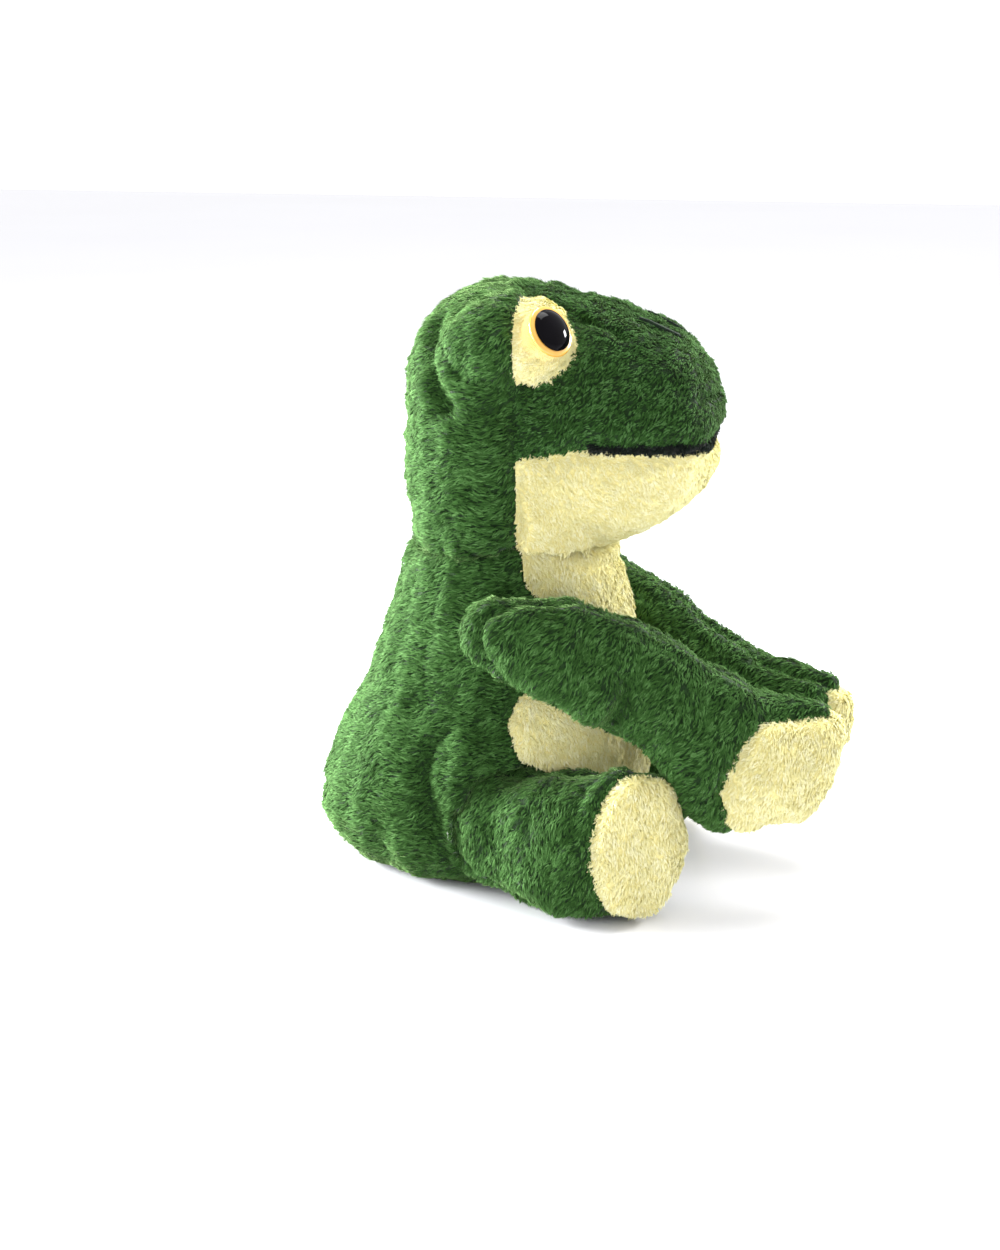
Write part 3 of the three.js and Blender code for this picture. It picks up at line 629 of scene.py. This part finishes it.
def shape_arm(arm, side):
    arm.sew(width=2.6, depth=2.4)
    mirror = np.array([side, 1, 1])
    elbow = np.array([(-50, -24, 104), (-55, -27, 98), (-56, -28, 91), (-55, -24, 81), (-50, -21, 73)])
    arm.press(elbow * mirror, width=3.4, depth=4.2, mirror=False)
    arm.press((elbow + np.array([0, 9, -1])) * mirror, width=7, depth=-1.6, mirror=False)
    # puckers round the root
    for line in ([(-52, 33, 118), (-57, 22, 117), (-59, 8, 114)], [(-52, 34, 100), (-57, 24, 98)],
                 [(-50, 30, 90), (-56, 18, 92)]):
        arm.press(np.array(line) * mirror, width=2.4, depth=1.0, mirror=False)
    # the heel of the paw sags, and its front is drawn back
    arm.press(np.array([(-44, -42, 45), (-40, -62, 37)]) * mirror, width=11, depth=-7.5, mirror=False)
    if side > 0:
        arm.co[:, 1] += 5.5 * np.clip((-62 - arm.co[:, 1]) / 26, 0, 1) ** 2
    else:
        # the left arm lies a little lower
        reach = np.clip((20 - arm.co[:, 1]) / 110, 0, 1)
        arm.co = arm.co + reach[:, None] * np.array([-1.5, 4.5, -2.5])
        arm.co[:, 2] -= 4.0 * np.sin(math.pi * reach)
    arm.crumple(size=24, depth=0.8, seed=41)
    arm.crumple(size=10, depth=0.3, seed=42)


def shape_leg(leg, side):
    leg.sew(width=2.8, depth=1.6)
    mirror = np.array([side, 1, 1])
    # soft creases over the thigh and beside the sole
    for line, depth in (([(-60, 12, 52), (-66, 8, 44), (-69, 8, 34)], 1.8),
                        ([(-58, 28, 50), (-60, 26, 40), (-60, 24, 28)], 1.6),
                        ([(-62, -14, 56), (-68, -12, 48), (-71, -11, 38)], 1.6)):
        leg.press(np.array(line) * mirror, width=3.2, depth=depth, mirror=False)
    # the shin sags outward on the floor
    low = np.clip((26 - leg.co[:, 2]) / 22, 0, 1) * np.clip((leg.co[:, 1] + 24) / 20, 0, 1)
    leg.co = leg.co + low[:, None] * np.array([-6.0 * side, 0, -1.5])
    leg.crumple(size=24, depth=0.8, seed=51)
    leg.crumple(size=10, depth=0.3, seed=52)


forms = {body: Form(body) for body in BODIES}
shape_head(forms["head"])
shape_torso(forms["torso"])
shape_arm(forms["arm_right"], 1)
shape_arm(forms["arm_left"], -1)
shape_leg(forms["leg_right"], 1)
shape_leg(forms["leg_left"], -1)
for form in forms.values():
    form.co[:, 2] = np.maximum(form.co[:, 2], FLOOR_REST)
    stuff(form)
    for index in range(len(form.panels)):
        cut_panel(form, index)
        grow_pile(form, index)


# ---------------------------------------------------------------- the eyes
def lathe(name, profile, centre, axis, steps=64):
    """A solid of revolution: (radius, height) points from the axis in front to the axis behind."""
    axis = unit(axis)
    u = unit(np.cross(axis, UP))
    v = np.cross(axis, u)
    rings = [(r, h) for r, h in profile if r > 1e-6]
    angles = np.linspace(0, 2 * math.pi, steps, endpoint=False)
    around = np.cos(angles)[:, None] * u + np.sin(angles)[:, None] * v
    verts = [centre + axis * profile[0][1]]
    for r, h in rings:
        verts.extend(centre + around * r + axis * h)
    verts.append(centre + axis * profile[-1][1])
    faces = []
    for i in range(steps):
        j = (i + 1) % steps
        faces.append((0, 1 + i, 1 + j))
        for k in range(len(rings) - 1):
            a, b = 1 + k * steps, 1 + (k + 1) * steps
            faces.append((a + i, b + i, b + j, a + j))
        last = 1 + (len(rings) - 1) * steps
        faces.append((last + i, len(verts) - 1, last + j))
    mesh = bpy.data.meshes.new(name)
    mesh.from_pydata([Vector(p + SHIFT) * MM for p in verts], [], faces)
    mesh.shade_smooth()
    mesh.update()
    obj = bpy.data.objects.new(name, mesh)
    bpy.context.scene.collection.objects.link(obj)
    return obj


def amber_material():
    material, shader = new_material("amber_eye_plastic", 0.22, 0.5)
    mottle(material, shader, 130, (0.62, 0.30, 0.03), (0.88, 0.50, 0.09))
    shader.inputs["Coat Weight"].default_value = 0.6
    shader.inputs["Coat Roughness"].default_value = 0.05
    return material


def black_material():
    material, shader = new_material("black_eye_plastic", 0.05, 0.06)
    mottle(material, shader, 220, (0.0015, 0.0012, 0.0018), (0.0035, 0.0030, 0.0045))
    return material


amber, black = amber_material(), black_material()


def make_eye(ending, side):
    centre, axis = eye_centre(side), EYE_FACING * np.array([side, 1, 1])
    top = EYE_RIM + EYE_CROWN
    disc = [(0, top)]
    disc += [(r, top - EYE_CROWN * (r / 9.2) ** 2) for r in (3, 6, 8, 9.2)]
    disc += [(9.7, EYE_RIM - 0.2), (EYE_RADIUS, EYE_RIM - 0.7), (EYE_RADIUS, 0.2), (9.6, -0.2), (0, -0.2)]
    iris = lathe("eye_iris_" + ending + "_disc", disc, centre, axis)
    iris.data.materials.append(amber)
    dome = [(0, PUPIL_TOP)]
    for angle in np.linspace(8, 84, 12):
        a = math.radians(angle)
        dome.append((PUPIL_RADIUS * math.sin(a), PUPIL_BASE + PUPIL_CURVE * (math.cos(a) - 0.34)))
    dome += [(PUPIL_RADIUS, PUPIL_BASE - 0.1), (0, PUPIL_BASE - 0.15)]
    pupil = lathe("eye_pupil_" + ending + "_dome", dome, centre, axis)
    pupil.data.materials.append(black)
    for obj, node, slot in ((iris, "eye_iris_", "amber_eye"), (pupil, "eye_pupil_", "black_eye")):
        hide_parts(node + ending)
        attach(obj, "head")


make_eye("right", 1)
make_eye("left", -1)

# ---------------------------------------------------------------- CAD pieces that stay shown
INNER = {
    "bean_bag": bag_cloth,
    "neck_stuffing": fibre,
    "eye_washer_right": washer_plastic,
    "eye_washer_left": washer_plastic,
    "nostril_stitch_right": thread,
    "nostril_stitch_left": thread,
}
for node, material in INNER.items():
    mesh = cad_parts[node].data
    mesh.materials.clear()
    mesh.materials.append(material)


# ---------------------------------------------------------------- room
def aim(obj, at):
    obj.rotation_mode = "QUATERNION"
    obj.rotation_quaternion = (obj.location - Vector(at)).to_track_quat("Z", "Y")


def floor_material():
    material, shader = new_material("white_table", 0.35, 0.35)
    mottle(material, shader, 2, (0.76, 0.76, 0.80), (0.80, 0.80, 0.84))
    return material


corners = np.array([(-1, -1, 0), (1, -1, 0), (1, 1, 0), (-1, 1, 0)]) * FLOOR_HALF / MM
floor = make_mesh("floor", corners, np.array([[0, 1, 2, 3]]))
floor.data.materials.append(floor_material())

world = bpy.data.worlds.new("studio")
world.use_nodes = True
world.node_tree.nodes["Background"].inputs["Color"].default_value = (1, 1, 1, 1)
world.node_tree.nodes["Background"].inputs["Strength"].default_value = WHITE
bpy.context.scene.world = world


def area_light(name, place, at, size, power):
    data = bpy.data.lights.new(name, "AREA")
    data.size = size
    data.energy = power
    obj = bpy.data.objects.new(name, data)
    obj.location = place
    aim(obj, at)
    bpy.context.scene.collection.objects.link(obj)


for name, light in LIGHTS.items():
    area_light(name, **light)

camera = bpy.data.objects.new("camera", bpy.data.cameras.new("camera"))
camera.data.lens = LENS
camera.data.sensor_width = SENSOR
camera.data.clip_start = 0.01
camera.location = CAMERA_PLACE
aim(camera, CAMERA_AT)
bpy.context.scene.collection.objects.link(camera)
bpy.context.scene.camera = camera
bpy.context.scene.view_settings.view_transform = "Standard"
